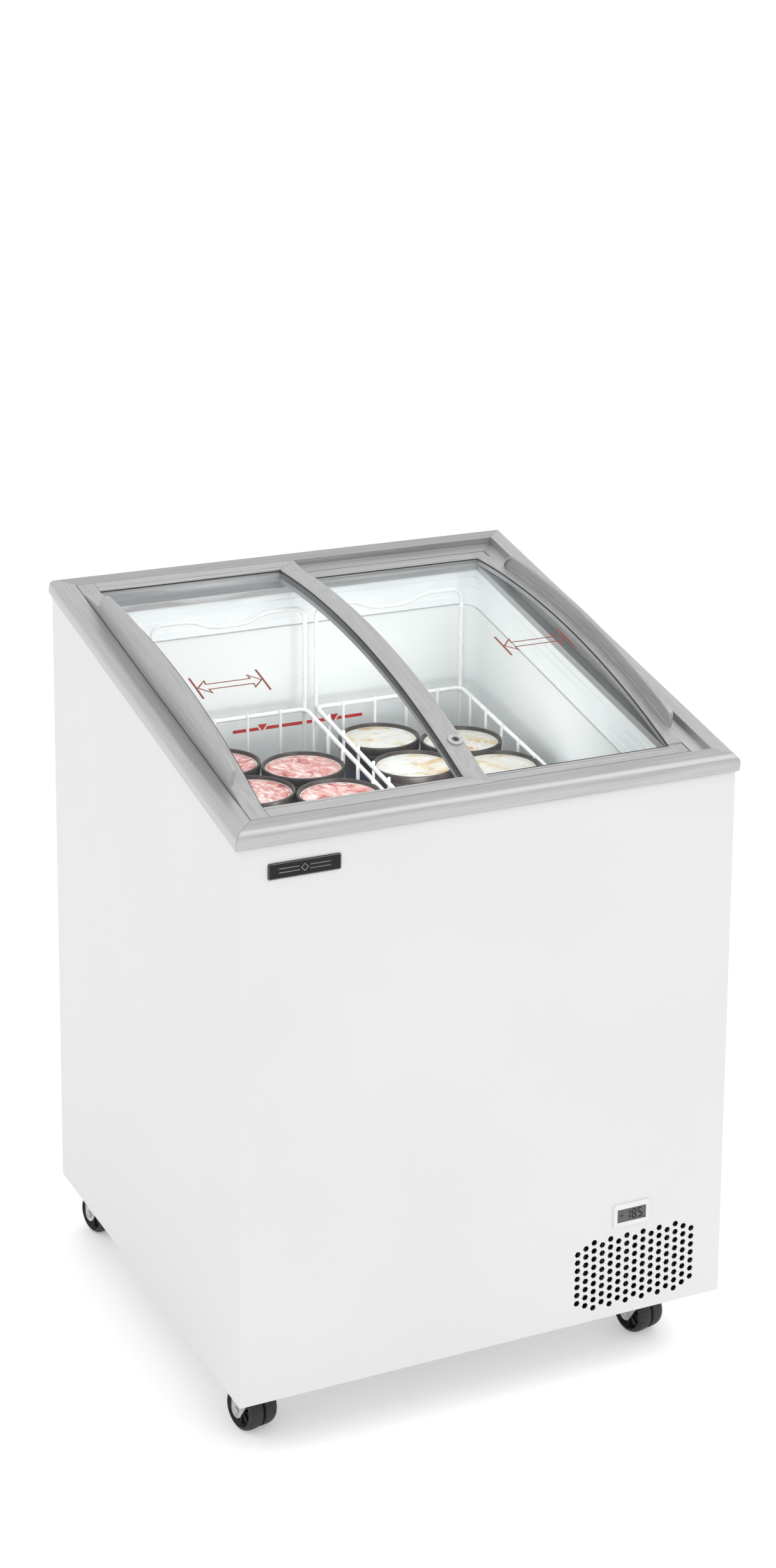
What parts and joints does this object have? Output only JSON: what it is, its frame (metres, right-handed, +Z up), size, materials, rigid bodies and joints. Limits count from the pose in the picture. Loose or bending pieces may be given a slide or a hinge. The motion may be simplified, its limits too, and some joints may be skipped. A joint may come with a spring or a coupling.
{
  "type": "ice cream dipping cabinet",
  "caption": "Chest freezer on four twin-wheel casters, with a sloping aluminium top frame, two curved sliding glass lids and lift-out wire baskets of tubs.",
  "frame": {"origin": "on the floor under the casters, below the centre of the outer box", "axes": "+X to the right seen from the customer's side, -Y the front with the grille and name badge, +Z up; the top rises towards +Y"},
  "size_m": [0.619, 0.6171, 0.877],
  "materials": {
    "white_sheet": "satin",
    "galvanised": "satin",
    "frame_aluminium": "satin",
    "tank_aluminium": "satin",
    "white_plastic": "satin",
    "insulation_foam": "matte",
    "lid_plastic": "matte",
    "lid_glass": "gloss",
    "black_brush": "matte",
    "lock_chrome": "polished",
    "coated_wire": "gloss",
    "tub_board": "matte",
    "copper": "satin",
    "black_paint": "satin",
    "black_rubber": "matte",
    "black_plastic": "matte",
    "motor_metal": "satin",
    "fan_aluminium": "satin",
    "wheel_plastic": "satin",
    "badge_black": "gloss",
    "display_dark": "gloss"
  },
  "bodies": {
    "cabinet": {"front_panel": "white_sheet", "side_panel_left": "white_sheet", "side_panel_right": "white_sheet", "back_panel": "white_sheet", "rear_vent_cover": "white_sheet", "base_plate": "galvanised", "foam_insulation": "insulation_foam", "tank_liner": "tank_aluminium", "breaker_frame": "white_plastic", "frame_front": "frame_aluminium", "frame_back": "frame_aluminium", "frame_left": "frame_aluminium", "frame_right": "frame_aluminium", "evaporator_coil": "copper", "condenser": "black_paint", "compressor": "black_paint", "compressor_feet": "black_rubber", "start_relay": "black_plastic", "fan_shroud": "galvanised", "fan_motor": "motor_metal", "filter_drier": "copper", "refrigerant_pipes": "copper", "thermostat_body": "motor_metal", "thermometer_bezel": "white_plastic", "thermometer_display": "display_dark", "name_badge": "badge_black", "cord_gland": "black_plastic", "caster_plates": "galvanised"},
    "lid_left": {"lid_left_glass": "lid_glass", "lid_left_rails": "lid_plastic", "lid_left_outer_stile": "lid_plastic", "lid_left_inner_stile": "lid_plastic", "lid_left_brush_seal": "black_brush", "lock_housing": "lock_chrome"},
    "lid_right": {"lid_right_glass": "lid_glass", "lid_right_rails": "lid_plastic", "lid_right_outer_stile": "lid_plastic", "lid_right_inner_stile": "lid_plastic"},
    "lock_barrel": {"lock_barrel": "lock_chrome"},
    "basket_left": {"basket_left": "coated_wire", "tubs_left": "tub_board"},
    "basket_right": {"basket_right": "coated_wire", "tubs_right": "tub_board"},
    "fan": {"fan_blade": "fan_aluminium"},
    "thermostat_knob": {"thermostat_knob": "black_plastic"},
    "caster_fork_front_left": {"caster_fork_front_left": "galvanised"},
    "caster_wheel_front_left_a": {"caster_wheel_front_left_a": "wheel_plastic"},
    "caster_wheel_front_left_b": {"caster_wheel_front_left_b": "wheel_plastic"},
    "brake_pedal_front_left": {"brake_pedal_front_left": "black_plastic"},
    "caster_fork_front_right": {"caster_fork_front_right": "galvanised"},
    "caster_wheel_front_right_a": {"caster_wheel_front_right_a": "wheel_plastic"},
    "caster_wheel_front_right_b": {"caster_wheel_front_right_b": "wheel_plastic"},
    "brake_pedal_front_right": {"brake_pedal_front_right": "black_plastic"},
    "caster_fork_back_left": {"caster_fork_back_left": "galvanised"},
    "caster_wheel_back_left_a": {"caster_wheel_back_left_a": "wheel_plastic"},
    "caster_wheel_back_left_b": {"caster_wheel_back_left_b": "wheel_plastic"},
    "caster_fork_back_right": {"caster_fork_back_right": "galvanised"},
    "caster_wheel_back_right_a": {"caster_wheel_back_right_a": "wheel_plastic"},
    "caster_wheel_back_right_b": {"caster_wheel_back_right_b": "wheel_plastic"}
  },
  "joints": [
    {"name": "lid_left_slide", "type": "slide", "parent": "cabinet", "child": "lid_left", "axis": [1, 0, 0], "range_m": [0, 0.25]},
    {"name": "lid_right_slide", "type": "slide", "parent": "cabinet", "child": "lid_right", "axis": [1, 0, 0], "range_m": [-0.246, 0]},
    {"name": "lock_turn", "type": "hinge", "parent": "lid_left", "child": "lock_barrel", "pos_m": [-0.005, -0.20923, 0.77651], "axis": [0, -0.3558, 0.9345], "range_deg": [0, 90]},
    {"name": "basket_left_lift", "type": "slide", "parent": "cabinet", "child": "basket_left", "axis": [0, 0, 1], "range_m": [0, 0.012]},
    {"name": "basket_right_lift", "type": "slide", "parent": "cabinet", "child": "basket_right", "axis": [0, 0, 1], "range_m": [0, 0.012]},
    {"name": "fan_spin", "type": "hinge", "parent": "cabinet", "child": "fan", "pos_m": [0.19, -0.2069, 0.1595], "axis": [0, 1, 0], "continuous": true},
    {"name": "thermostat_turn", "type": "hinge", "parent": "cabinet", "child": "thermostat_knob", "pos_m": [0.2, 0.2901, 0.25], "axis": [0, 1, 0], "range_deg": [0, 270]},
    {"name": "caster_swivel_front_left", "type": "hinge", "parent": "cabinet", "child": "caster_fork_front_left", "pos_m": [-0.252, -0.2444, 0.07], "axis": [0, 0, 1], "continuous": true},
    {"name": "caster_wheel_front_left_a_roll", "type": "hinge", "parent": "caster_fork_front_left", "child": "caster_wheel_front_left_a", "pos_m": [-0.25762, -0.22004, 0.026], "axis": [0.9744, 0.225, 0], "continuous": true},
    {"name": "caster_wheel_front_left_b_roll", "type": "hinge", "parent": "caster_fork_front_left", "child": "caster_wheel_front_left_b", "pos_m": [-0.25762, -0.22004, 0.026], "axis": [0.9744, 0.225, 0], "continuous": true},
    {"name": "brake_pedal_front_left_press", "type": "hinge", "parent": "caster_fork_front_left", "child": "brake_pedal_front_left", "pos_m": [-0.2556, -0.22881, 0.0585], "axis": [-0.9744, -0.225, 0], "range_deg": [0, 8]},
    {"name": "caster_swivel_front_right", "type": "hinge", "parent": "cabinet", "child": "caster_fork_front_right", "pos_m": [0.252, -0.2444, 0.07], "axis": [0, 0, 1], "continuous": true},
    {"name": "caster_wheel_front_right_a_roll", "type": "hinge", "parent": "caster_fork_front_right", "child": "caster_wheel_front_right_a", "pos_m": [0.24638, -0.22004, 0.026], "axis": [0.9744, 0.225, 0], "continuous": true},
    {"name": "caster_wheel_front_right_b_roll", "type": "hinge", "parent": "caster_fork_front_right", "child": "caster_wheel_front_right_b", "pos_m": [0.24638, -0.22004, 0.026], "axis": [0.9744, 0.225, 0], "continuous": true},
    {"name": "brake_pedal_front_right_press", "type": "hinge", "parent": "caster_fork_front_right", "child": "brake_pedal_front_right", "pos_m": [0.2484, -0.22881, 0.0585], "axis": [-0.9744, -0.225, 0], "range_deg": [0, 8]},
    {"name": "caster_swivel_back_left", "type": "hinge", "parent": "cabinet", "child": "caster_fork_back_left", "pos_m": [-0.252, 0.2556, 0.07], "axis": [0, 0, 1], "continuous": true},
    {"name": "caster_wheel_back_left_a_roll", "type": "hinge", "parent": "caster_fork_back_left", "child": "caster_wheel_back_left_a", "pos_m": [-0.25762, 0.27996, 0.026], "axis": [0.9744, 0.225, 0], "continuous": true},
    {"name": "caster_wheel_back_left_b_roll", "type": "hinge", "parent": "caster_fork_back_left", "child": "caster_wheel_back_left_b", "pos_m": [-0.25762, 0.27996, 0.026], "axis": [0.9744, 0.225, 0], "continuous": true},
    {"name": "caster_swivel_back_right", "type": "hinge", "parent": "cabinet", "child": "caster_fork_back_right", "pos_m": [0.252, 0.2556, 0.07], "axis": [0, 0, 1], "continuous": true},
    {"name": "caster_wheel_back_right_a_roll", "type": "hinge", "parent": "caster_fork_back_right", "child": "caster_wheel_back_right_a", "pos_m": [0.24638, 0.27996, 0.026], "axis": [0.9744, 0.225, 0], "continuous": true},
    {"name": "caster_wheel_back_right_b_roll", "type": "hinge", "parent": "caster_fork_back_right", "child": "caster_wheel_back_right_b", "pos_m": [0.24638, 0.27996, 0.026], "axis": [0.9744, 0.225, 0], "continuous": true}
  ]
}
